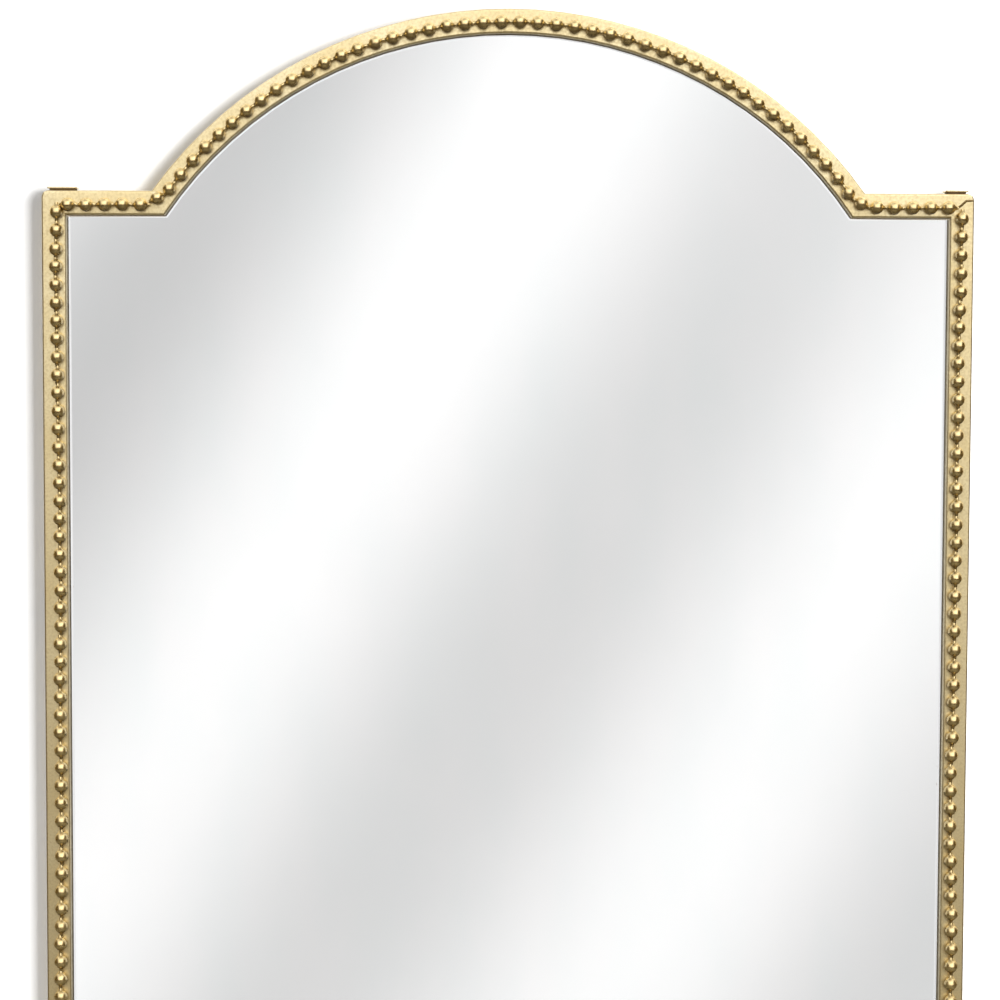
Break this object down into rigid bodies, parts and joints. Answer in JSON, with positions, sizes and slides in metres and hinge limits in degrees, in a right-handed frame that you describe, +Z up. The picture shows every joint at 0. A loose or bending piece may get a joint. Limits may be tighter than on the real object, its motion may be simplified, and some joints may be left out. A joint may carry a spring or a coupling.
{
  "type": "leaning floor mirror",
  "caption": "Full-length floor mirror with a shouldered arch top, a welded tube frame with a line of beads on its face, and hangers on its back.",
  "frame": {"origin": "on the floor, at the middle of the width and of the whole depth from the beads' fronts to the bumpers' ends", "axes": "+Z up along the mirror's height; -Y out of the mirror's face; +X to the right as the viewer in front sees it"},
  "size_m": [0.711, 0.043, 1.7783],
  "materials": {
    "gold_lacquer": "satin pale gold lacquer on steel",
    "gold_beads": "brighter pale gold lacquer on rolled beads",
    "silvered_glass": "clear float glass silvered on its back",
    "backing_film": "grey woven safety film",
    "fibre_board": "raw medium-density fibre board",
    "foam_tape": "white closed-cell foam tape",
    "zinc_plate": "bright zinc plate on steel",
    "black_rubber": "matt black rubber",
    "clear_rubber": "translucent soft rubber"
  },
  "bodies": {
    "mirror": {"side_rail_left": "gold_lacquer", "side_rail_right": "gold_lacquer", "bottom_rail": "gold_lacquer", "shoulder_rail_left": "gold_lacquer", "shoulder_rail_right": "gold_lacquer", "arch_rail": "gold_lacquer", "corner_plate_left": "gold_lacquer", "corner_plate_right": "gold_lacquer", "bead_run_left": "gold_beads", "bead_run_right": "gold_beads", "bead_run_shoulder_left": "gold_beads", "bead_run_shoulder_right": "gold_beads", "bead_run_bottom": "gold_beads", "bead_run_arch": "gold_beads", "mirror_glass": "silvered_glass", "safety_film": "backing_film", "back_board": "fibre_board", "bonding_tape_1": "foam_tape", "bonding_tape_2": "foam_tape", "bonding_tape_3": "foam_tape", "bonding_tape_4": "foam_tape", "setting_block_left": "black_rubber", "setting_block_right": "black_rubber", "lug_left_low": "gold_lacquer", "lug_left_middle": "gold_lacquer", "lug_left_high": "gold_lacquer", "lug_right_low": "gold_lacquer", "lug_right_middle": "gold_lacquer", "lug_right_high": "gold_lacquer", "lug_bottom_left": "gold_lacquer", "lug_bottom_right": "gold_lacquer", "lug_arch_left": "gold_lacquer", "lug_arch_top": "gold_lacquer", "lug_arch_right": "gold_lacquer", "lug_screw_left_low": "zinc_plate", "lug_screw_left_middle": "zinc_plate", "lug_screw_left_high": "zinc_plate", "lug_screw_right_low": "zinc_plate", "lug_screw_right_middle": "zinc_plate", "lug_screw_right_high": "zinc_plate", "lug_screw_bottom_left": "zinc_plate", "lug_screw_bottom_right": "zinc_plate", "lug_screw_arch_left": "zinc_plate", "lug_screw_arch_top": "zinc_plate", "lug_screw_arch_right": "zinc_plate", "hanger_strap_left": "zinc_plate", "hanger_screw_left_upper": "zinc_plate", "hanger_screw_left_lower": "zinc_plate", "hanger_strap_right": "zinc_plate", "hanger_screw_right_upper": "zinc_plate", "hanger_screw_right_lower": "zinc_plate", "wall_bumper_top_left": "clear_rubber", "wall_bumper_low_left": "clear_rubber", "wall_bumper_top_right": "clear_rubber", "wall_bumper_low_right": "clear_rubber", "floor_pad_left": "black_rubber", "floor_pad_right": "black_rubber"},
    "ring_left": {"hanger_ring_left": "zinc_plate"},
    "ring_right": {"hanger_ring_right": "zinc_plate"}
  },
  "joints": [
    {"name": "ring_left_swing", "type": "hinge", "parent": "mirror", "child": "ring_left", "pos_m": [-0.34625, 0.0163, 1.3333], "axis": [1, 0, 0], "range_deg": [0, 180]},
    {"name": "ring_right_swing", "type": "hinge", "parent": "mirror", "child": "ring_right", "pos_m": [0.34625, 0.0163, 1.3333], "axis": [1, 0, 0], "range_deg": [0, 180]}
  ]
}
